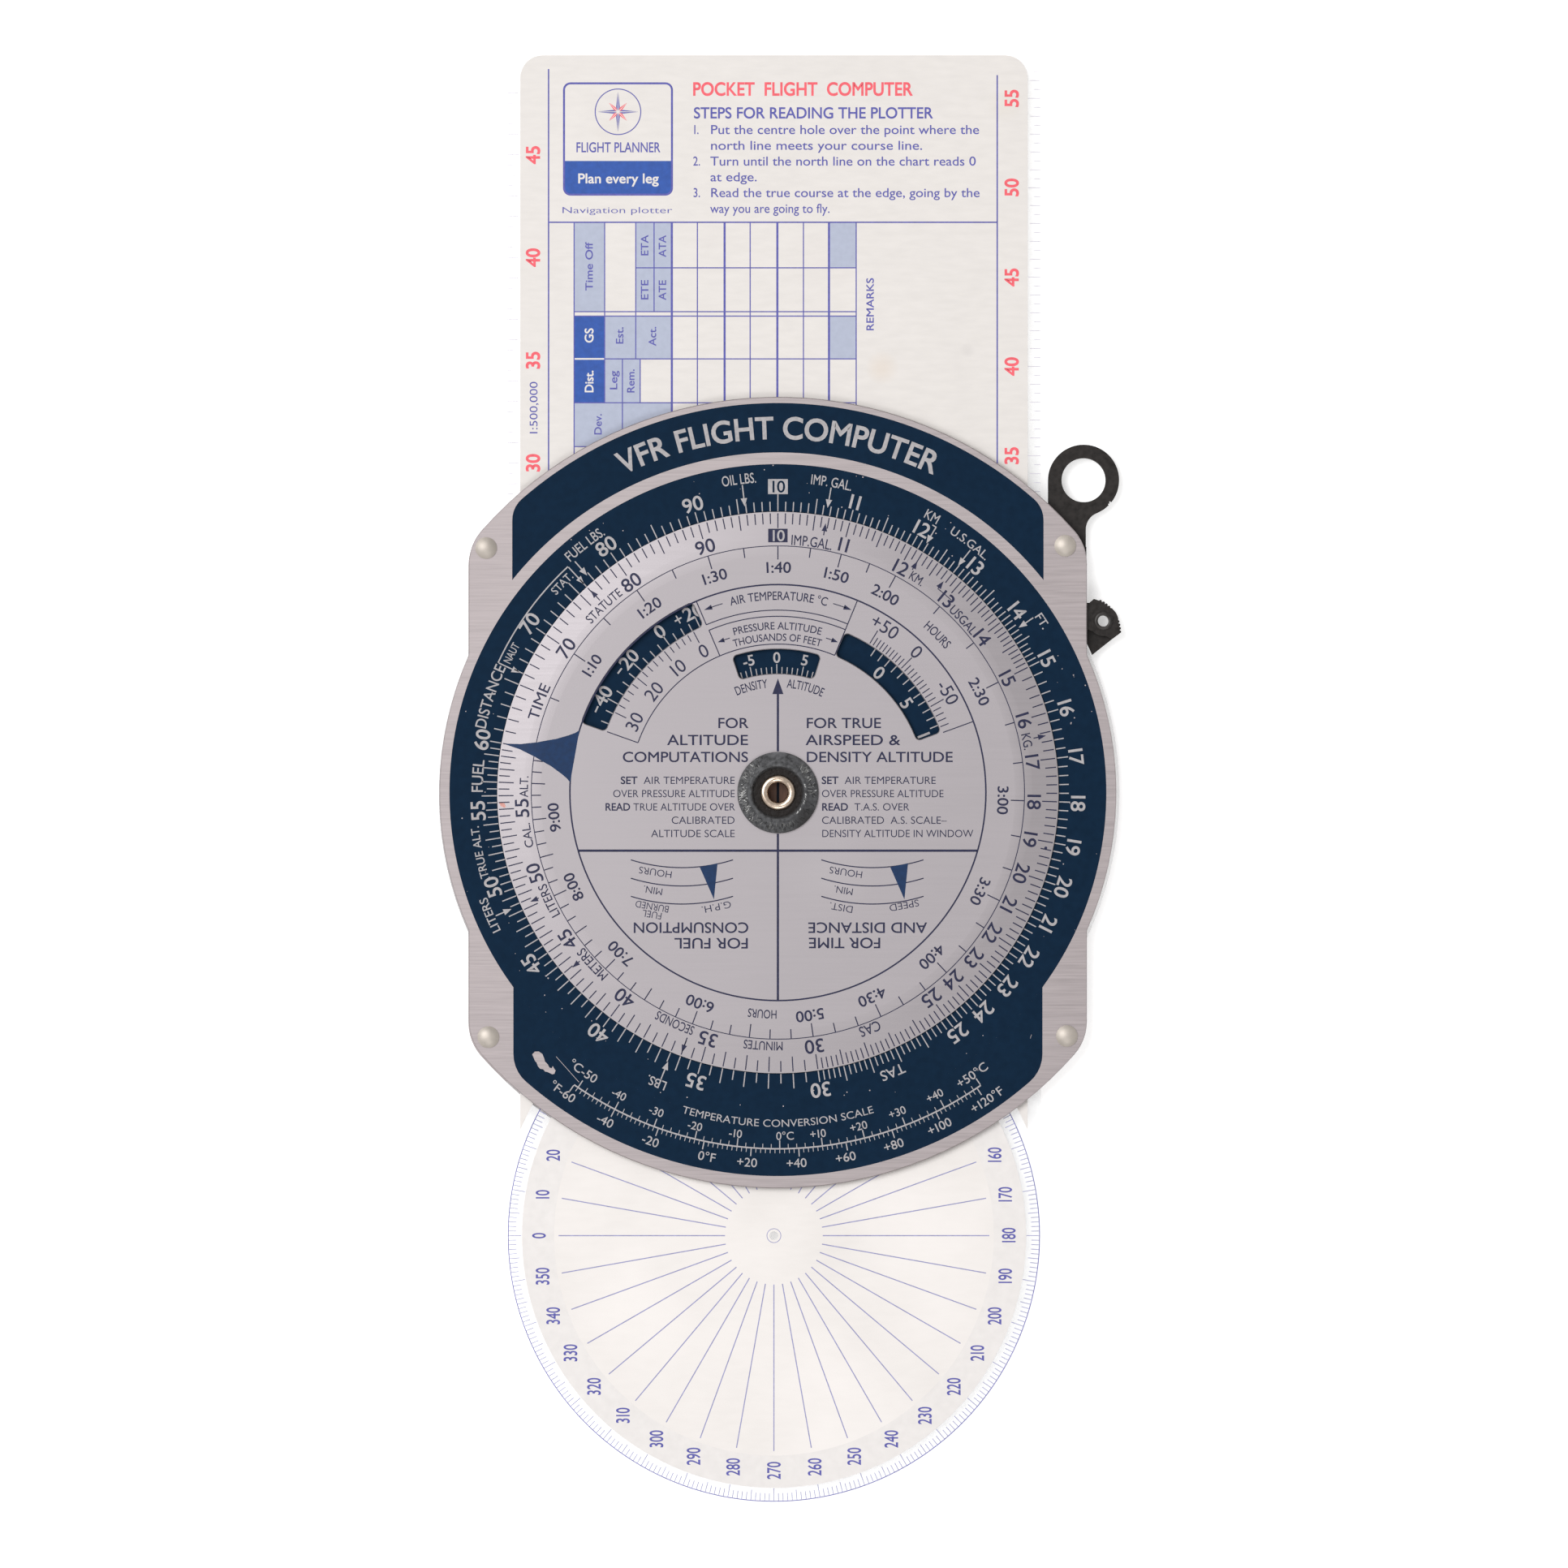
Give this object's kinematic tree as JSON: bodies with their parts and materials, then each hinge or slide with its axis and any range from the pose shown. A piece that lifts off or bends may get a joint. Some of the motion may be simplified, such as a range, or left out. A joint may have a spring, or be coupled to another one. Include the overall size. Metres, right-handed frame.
{
  "type": "flight computer",
  "caption": "Circular aviation slide rule: a riveted metal body with a rotating calculator dial, a rotating azimuth disc, a sliding plotter card, a lock lever and a hanging ring.",
  "frame": {"origin": "middle of the footprint, on the surface that the back plate lies on", "axes": "+X to the right of the calculator side, +Y along the card towards its square end, +Z out of the calculator side"},
  "size_m": [0.1234, 0.2606, 0.0072],
  "materials": {
    "plate_aluminium": "brushed, satin",
    "dial_aluminium": "fine satin, with a brighter sloping rim",
    "rivet_nickel": "dull nickel plate, aged",
    "eyelet_nickel": "polished warm nickel",
    "spacer_aluminium": "mill finish",
    "felt": "pressed felt",
    "washer_plastic": "smooth",
    "black_plastic": "moulded, satin, scuffed",
    "clear_plastic": "clear, lightly scratched",
    "white_film": "white printed film",
    "navy_print": "satin screen print",
    "dial_print": "fine dark blue print",
    "white_print": "bare metal showing through the print",
    "blue_print": "fine blue print",
    "red_print": "fine red print",
    "pale_blue_print": "light blue tint",
    "mid_blue_print": "solid blue print",
    "grey_print": "light grey tint"
  },
  "bodies": {
    "frame": {"front_plate": "plate_aluminium", "rear_plate": "plate_aluminium", "corner_rivets": "rivet_nickel", "corner_spacer_top_left": "spacer_aluminium", "corner_spacer_bottom_left": "spacer_aluminium", "corner_spacer_bottom_right": "spacer_aluminium", "hanger_bracket": "black_plastic", "slide_guide_left": "spacer_aluminium", "slide_guide_right": "spacer_aluminium", "slide_guide_top_right": "spacer_aluminium", "felt_strips": "felt", "pivot_eyelet": "eyelet_nickel", "dial_washer": "washer_plastic", "lock_pin": "rivet_nickel"},
    "dial": {"calculator_dial": "dial_aluminium", "pivot_knob": "black_plastic"},
    "azimuth": {"azimuth_disc": "clear_plastic", "azimuth_grommet": "eyelet_nickel"},
    "card": {"plotter_sheet": "clear_plastic", "log_film": "white_film", "protractor_film": "white_film", "wind_grid_film": "white_film"},
    "lever": {"lock_lever": "black_plastic"}
  },
  "joints": [
    {"name": "dial_spin", "type": "hinge", "parent": "frame", "child": "dial", "pos_m": [0, -0.00245, 0.0055], "axis": [0, 0, 1], "continuous": true},
    {"name": "azimuth_spin", "type": "hinge", "parent": "frame", "child": "azimuth", "pos_m": [0, -0.00245, 0.00145], "axis": [0, 0, 1], "continuous": true},
    {"name": "card_slide", "type": "slide", "parent": "frame", "child": "card", "axis": [0, 1, 0], "range_m": [-0.09, 0.09]},
    {"name": "lock_pivot", "type": "hinge", "parent": "frame", "child": "lever", "pos_m": [0.0586, 0.02845, 0.003], "axis": [0, 0, 1], "range_deg": [0, 21]}
  ]
}
